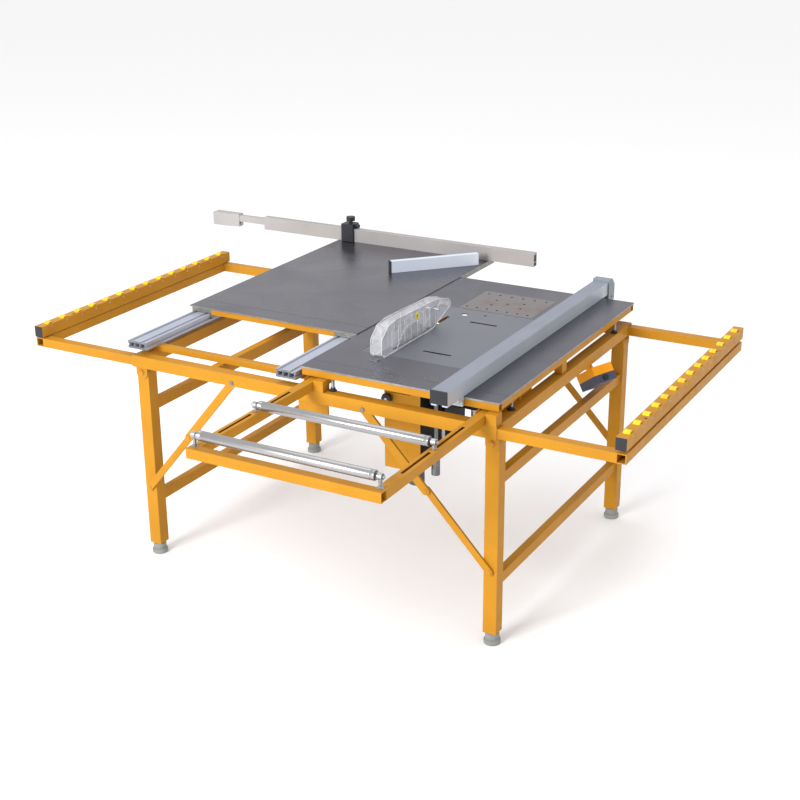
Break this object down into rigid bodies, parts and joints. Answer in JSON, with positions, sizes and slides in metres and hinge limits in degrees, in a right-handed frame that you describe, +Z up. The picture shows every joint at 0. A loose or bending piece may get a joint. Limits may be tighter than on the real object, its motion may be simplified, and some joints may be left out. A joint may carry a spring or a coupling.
{
  "type": "panel saw",
  "caption": "Folding site panel saw: sliding table, rip fence, clear blade guard, pull-out roller frame, side extensions with roller strips and leg frames with toggle braces.",
  "frame": {"origin": "centre of the machine's outline on the floor, the underside of the feet", "axes": "+X to the operator's right, +Y away from the operator, +Z up"},
  "size_m": [2.664, 2.257, 1.02],
  "materials": {
    "yellow_paint": "satin",
    "table_steel": "satin",
    "aluminium": "satin",
    "zinc": "satin",
    "roller_steel": "bright",
    "blade_steel": "brushed",
    "black_plastic": "matte",
    "motor_black": "satin",
    "foot_grey": "matte",
    "wheel_yellow": "gloss",
    "clear_guard": "clear",
    "belt_rubber": "matte",
    "control_orange": "satin",
    "control_slate": "matte"
  },
  "bodies": {
    "base": {"front_beam": "yellow_paint", "back_beam": "yellow_paint", "long_beams": "yellow_paint", "leg_brackets": "yellow_paint", "pivot_bolts": "zinc", "rail_supports": "yellow_paint", "slide_rails": "aluminium", "table_studs": "zinc", "table_frame": "yellow_paint", "table_top": "table_steel", "insert_plates": "table_steel", "arm_guides": "yellow_paint", "saw_housing": "yellow_paint", "dust_port": "black_plastic", "lift_guides": "zinc", "riving_knife": "blade_steel", "control_box": "control_orange", "control_cover": "control_slate"},
    "right_leg_frame": {"right_legs": "yellow_paint", "right_leg_rails": "yellow_paint", "right_feet": "foot_grey"},
    "left_leg_frame": {"left_legs": "yellow_paint", "left_leg_rails": "yellow_paint", "left_feet": "foot_grey"},
    "right_upper_brace": {"right_upper_links": "yellow_paint"},
    "right_lower_brace": {"right_lower_links": "yellow_paint"},
    "left_upper_brace": {"left_upper_links": "yellow_paint"},
    "left_lower_brace": {"left_lower_links": "yellow_paint"},
    "right_extension": {"right_ext_frame": "yellow_paint", "right_strip": "yellow_paint", "right_wheels": "wheel_yellow"},
    "left_extension": {"left_ext_frame": "yellow_paint", "left_strip": "yellow_paint", "left_wheels": "wheel_yellow"},
    "roller_carrier": {"roller_frame": "yellow_paint", "roller_posts": "zinc"},
    "front_roller": {"front_roller": "roller_steel"},
    "back_roller": {"back_roller": "roller_steel"},
    "sliding_table": {"slide_top": "table_steel", "slide_frame": "yellow_paint", "carriages": "zinc", "cross_fence": "aluminium"},
    "fence_bar": {"fence_bar": "aluminium"},
    "flip_stop": {"flip_stop": "black_plastic"},
    "mitre_bar": {"mitre_bar": "aluminium"},
    "rip_fence": {"rip_fence": "aluminium", "rip_cap": "black_plastic", "rip_lock": "aluminium"},
    "rip_lever": {"rip_lever": "black_plastic"},
    "guard": {"blade_guard": "clear_guard"},
    "saw_lift": {"lift_plate": "motor_black", "motor": "motor_black", "drive_belt": "belt_rubber", "belt_cover": "black_plastic"},
    "blade": {"saw_blade": "blade_steel", "arbor": "zinc"},
    "rotor": {"motor_pulley": "zinc"},
    "lift_screw": {"lift_screw": "zinc"},
    "start_button": {"start_button": "black_plastic"},
    "side_knob": {"side_knob": "black_plastic"}
  },
  "joints": [
    {"name": "right_leg_fold", "type": "hinge", "parent": "base", "child": "right_leg_frame", "pos_m": [0.864, 0.1615, 0.757], "axis": [0, 1, 0], "range_deg": [0, 45]},
    {"name": "right_upper_turn", "type": "hinge", "parent": "base", "child": "right_upper_brace", "pos_m": [0.386, 0.1615, 0.796], "axis": [0, 1, 0], "range_deg": [-33.83, 0.3]},
    {"name": "right_lower_turn", "type": "hinge", "parent": "right_upper_brace", "child": "right_lower_brace", "pos_m": [0.625, 0.1615, 0.5425], "axis": [0, 1, 0], "range_deg": [-0.3, 110.62]},
    {"name": "left_leg_fold", "type": "hinge", "parent": "base", "child": "left_leg_frame", "pos_m": [-0.58, 0.1615, 0.757], "axis": [0, -1, 0], "range_deg": [0, 83]},
    {"name": "left_upper_turn", "type": "hinge", "parent": "base", "child": "left_upper_brace", "pos_m": [-0.156, 0.1615, 0.796], "axis": [0, -1, 0], "range_deg": [-18.45, 0.3]},
    {"name": "left_lower_turn", "type": "hinge", "parent": "left_upper_brace", "child": "left_lower_brace", "pos_m": [-0.368, 0.1615, 0.5425], "axis": [0, -1, 0], "range_deg": [-0.3, 162.15]},
    {"name": "table_slide", "type": "slide", "parent": "base", "child": "sliding_table", "axis": [0, 1, 0], "range_m": [-0.375, 0.12]},
    {"name": "front_frame_slide", "type": "slide", "parent": "base", "child": "roller_carrier", "axis": [0, 1, 0], "range_m": [0, 0.2]},
    {"name": "right_extension_slide", "type": "slide", "parent": "base", "child": "right_extension", "axis": [1, 0, 0], "range_m": [-0.25, 0]},
    {"name": "left_extension_slide", "type": "slide", "parent": "base", "child": "left_extension", "axis": [-1, 0, 0], "range_m": [-0.25, 0]},
    {"name": "rip_fence_slide", "type": "slide", "parent": "base", "child": "rip_fence", "axis": [1, 0, 0], "range_m": [-0.29, 0.11]},
    {"name": "saw_lift_slide", "type": "slide", "parent": "base", "child": "saw_lift", "axis": [0, 0, 1], "range_m": [-0.06, 0]},
    {"name": "lift_screw_turn", "type": "hinge", "parent": "base", "child": "lift_screw", "pos_m": [0.476, -0.0885, 0.6], "axis": [0, 0, 1], "range_deg": [-1081, 1]},
    {"name": "blade_spin", "type": "hinge", "parent": "saw_lift", "child": "blade", "pos_m": [0.319, 0.0215, 0.835], "axis": [1, 0, 0], "continuous": true},
    {"name": "rotor_spin", "type": "hinge", "parent": "saw_lift", "child": "rotor", "pos_m": [0.462, 0.1315, 0.69], "axis": [1, 0, 0], "continuous": true},
    {"name": "guard_lift", "type": "hinge", "parent": "base", "child": "guard", "pos_m": [0.319, 0.1865, 0.966], "axis": [-1, 0, 0], "range_deg": [0, 35]},
    {"name": "rip_lever_turn", "type": "hinge", "parent": "rip_fence", "child": "rip_lever", "pos_m": [0.724, 0.8825, 0.888], "axis": [1, 0, 0], "range_deg": [0, 60]},
    {"name": "front_roller_spin", "type": "hinge", "parent": "roller_carrier", "child": "front_roller", "pos_m": [0.501, -1.1015, 0.9015], "axis": [1, 0, 0], "continuous": true},
    {"name": "back_roller_spin", "type": "hinge", "parent": "roller_carrier", "child": "back_roller", "pos_m": [0.501, -0.7735, 0.8855], "axis": [1, 0, 0], "continuous": true},
    {"name": "mitre_bar_turn", "type": "hinge", "parent": "sliding_table", "child": "mitre_bar", "pos_m": [0.092, 0.9985, 0.905], "axis": [0, 0, 1], "range_deg": [-46, 43]},
    {"name": "fence_bar_slide", "type": "slide", "parent": "sliding_table", "child": "fence_bar", "axis": [-1, 0, 0], "range_m": [-0.14, 0.2]},
    {"name": "flip_stop_slide", "type": "slide", "parent": "sliding_table", "child": "flip_stop", "axis": [1, 0, 0], "range_m": [-0.4, 0.6]},
    {"name": "side_knob_turn", "type": "hinge", "parent": "base", "child": "side_knob", "pos_m": [0.309, -0.1535, 0.72], "axis": [0, -1, 0], "range_deg": [0, 360]},
    {"name": "start_button_press", "type": "slide", "parent": "base", "child": "start_button", "axis": [0.6866, -0.4683, 0.5561], "range_m": [-0.003, 0], "stiffness_N_per_m": 600, "springref_m": 0.002}
  ],
  "couplings": [
    {"joint": "right_upper_turn", "follows": "right_leg_fold", "ratio": -0.74503},
    {"joint": "right_lower_turn", "follows": "right_leg_fold", "ratio": 2.4515},
    {"joint": "left_upper_turn", "follows": "left_leg_fold", "ratio": -0.21866},
    {"joint": "left_lower_turn", "follows": "left_leg_fold", "ratio": 1.95},
    {"joint": "lift_screw_turn", "follows": "saw_lift_slide", "rad_per_m": 314.16},
    {"joint": "rotor_spin", "follows": "blade_spin", "ratio": 1}
  ]
}
